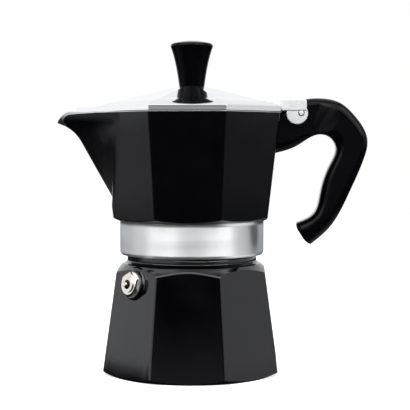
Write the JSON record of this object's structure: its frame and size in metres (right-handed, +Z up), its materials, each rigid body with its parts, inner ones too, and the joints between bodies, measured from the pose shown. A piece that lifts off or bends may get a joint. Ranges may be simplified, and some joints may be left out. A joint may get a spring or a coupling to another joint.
{
  "type": "stovetop moka pot",
  "caption": "Octagonal stovetop moka pot: screwed boiler and jug, hinged domed lid with waisted knob, side handle, pouring spout and spring safety valve.",
  "frame": {"origin": "centre of the boiler's base on the surface it stands on", "axes": "+Z up along the pot's axis, +X towards the handle and lid hinge, -X towards the spout"},
  "size_m": [0.1482, 0.0848, 0.1581],
  "materials": {
    "painted_aluminium": "gloss black enamel paint on cast aluminium, with a bare machined skirt",
    "polished_aluminium": "polished cast aluminium",
    "sheet_aluminium": "satin pressed sheet",
    "nickelled_brass": "nickel plated, turned",
    "steel": "bright steel",
    "phenolic": "moulded black phenolic, semi-gloss",
    "silicone": "matt off-white silicone"
  },
  "bodies": {
    "base": {"boiler": "painted_aluminium", "valve_washer": "sheet_aluminium", "valve_body": "nickelled_brass", "valve_seat": "nickelled_brass", "valve_spring": "steel"},
    "valve_pin": {"valve_piston": "nickelled_brass"},
    "funnel": {"funnel_cup": "sheet_aluminium", "funnel_stem": "sheet_aluminium", "funnel_grid": "sheet_aluminium"},
    "seal": {"gasket": "silicone"},
    "upper_pot": {"collector": "painted_aluminium", "riser": "sheet_aluminium", "filter_plate": "sheet_aluminium", "handle": "phenolic", "hinge_pin": "steel"},
    "lid": {"lid": "polished_aluminium", "lid_knob": "phenolic", "knob_insert": "nickelled_brass", "knob_washer": "steel", "knob_screw": "steel"}
  },
  "joints": [
    {"name": "valve_lift", "type": "slide", "parent": "base", "child": "valve_pin", "axis": [-0.701, -0.701, 0.1312], "range_m": [0, 0.0015], "stiffness_N_per_m": 400, "springref_m": -0.002, "deforming": ["valve_spring"]},
    {"name": "funnel_lift", "type": "slide", "parent": "base", "child": "funnel", "axis": [0, 0, 1], "range_m": [0, 0.07]},
    {"name": "thread_rise", "type": "slide", "parent": "funnel", "child": "seal", "axis": [0, 0, 1], "range_m": [0, 0.0075]},
    {"name": "unscrew", "type": "hinge", "parent": "seal", "child": "upper_pot", "pos_m": [0, 0, 0.066], "axis": [0, 0, 1], "range_deg": [0, 1080]},
    {"name": "lid_hinge", "type": "hinge", "parent": "upper_pot", "child": "lid", "pos_m": [0.05205, 0, 0.1235], "axis": [0, 1, 0], "range_deg": [0, 98]}
  ],
  "couplings": [
    {"joint": "thread_rise", "follows": "unscrew", "m_per_rad": 0.00039788}
  ]
}
